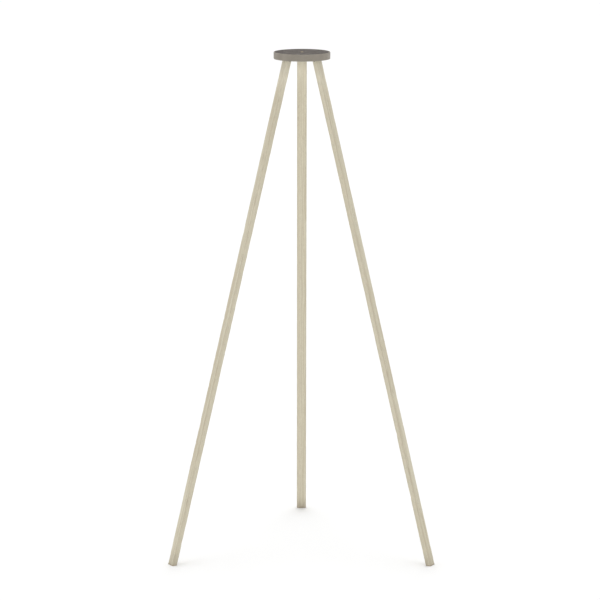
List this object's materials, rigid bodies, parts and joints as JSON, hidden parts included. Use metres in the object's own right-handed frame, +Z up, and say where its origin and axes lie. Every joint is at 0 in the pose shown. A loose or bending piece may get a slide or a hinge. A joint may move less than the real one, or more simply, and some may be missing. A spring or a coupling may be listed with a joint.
{
  "type": "wooden field tripod",
  "caption": "Fixed-length wooden tripod: straight square-cut legs hinged under a hollow round painted crown, with a leather-topped platform and a captive camera screw.",
  "frame": {"origin": "centre of the platform's top face, where the camera sits, on the tripod's axis", "axes": "+Z up along the tripod's axis; the rear leg points along +Y, and the left (-X) and right (+X) legs come forward either side of -Y; the floor is at z = -1.400 m"},
  "size_m": [0.7374, 0.6395, 1.4],
  "materials": {
    "wood": "pale, worn, waxed",
    "enamel": "taupe enamel",
    "leather": "fine grain, matt",
    "steel": "bright zinc plate",
    "brass": "turned, dulled",
    "rubber": "buff crepe, matt"
  },
  "bodies": {
    "crown": {"crown": "enamel", "platform_leather": "leather", "screw_cage": "steel", "cage_screws": "steel", "rear_hinge_bracket": "steel", "rear_bracket_screws": "steel", "rear_hinge_bolt": "steel", "rear_friction_washers": "leather", "rear_lock_washer": "steel", "rear_hinge_nut": "steel", "left_hinge_bracket": "steel", "left_bracket_screws": "steel", "left_hinge_bolt": "steel", "left_friction_washers": "leather", "left_lock_washer": "steel", "left_hinge_nut": "steel", "right_hinge_bracket": "steel", "right_bracket_screws": "steel", "right_hinge_bolt": "steel", "right_friction_washers": "leather", "right_lock_washer": "steel", "right_hinge_nut": "steel"},
    "rear_leg": {"rear_leg": "wood", "rear_leg_bush": "brass", "rear_foot_pad": "rubber", "rear_foot_screw": "brass"},
    "left_leg": {"left_leg": "wood", "left_leg_bush": "brass", "left_foot_pad": "rubber", "left_foot_screw": "brass"},
    "right_leg": {"right_leg": "wood", "right_leg_bush": "brass", "right_foot_pad": "rubber", "right_foot_screw": "brass"},
    "screw_slide": {"thrust_washer": "brass"},
    "camera_screw": {"camera_screw": "brass", "camera_screw_knob": "brass", "knob_pin": "steel"}
  },
  "joints": [
    {"name": "rear_leg_fold", "type": "hinge", "parent": "crown", "child": "rear_leg", "pos_m": [0, 0.046, -0.0163], "axis": [-1, 0, 0], "range_deg": [0, 16]},
    {"name": "left_leg_fold", "type": "hinge", "parent": "crown", "child": "left_leg", "pos_m": [-0.03984, -0.023, -0.0163], "axis": [0.5, -0.866, 0], "range_deg": [0, 16]},
    {"name": "right_leg_fold", "type": "hinge", "parent": "crown", "child": "right_leg", "pos_m": [0.03984, -0.023, -0.0163], "axis": [0.5, 0.866, 0], "range_deg": [0, 16]},
    {"name": "camera_screw_lift", "type": "slide", "parent": "crown", "child": "screw_slide", "axis": [0, 0, 1], "range_m": [0, 0.0055]},
    {"name": "camera_screw_turn", "type": "hinge", "parent": "screw_slide", "child": "camera_screw", "pos_m": [0, 0, -0.01], "axis": [0, 0, 1], "continuous": true}
  ]
}
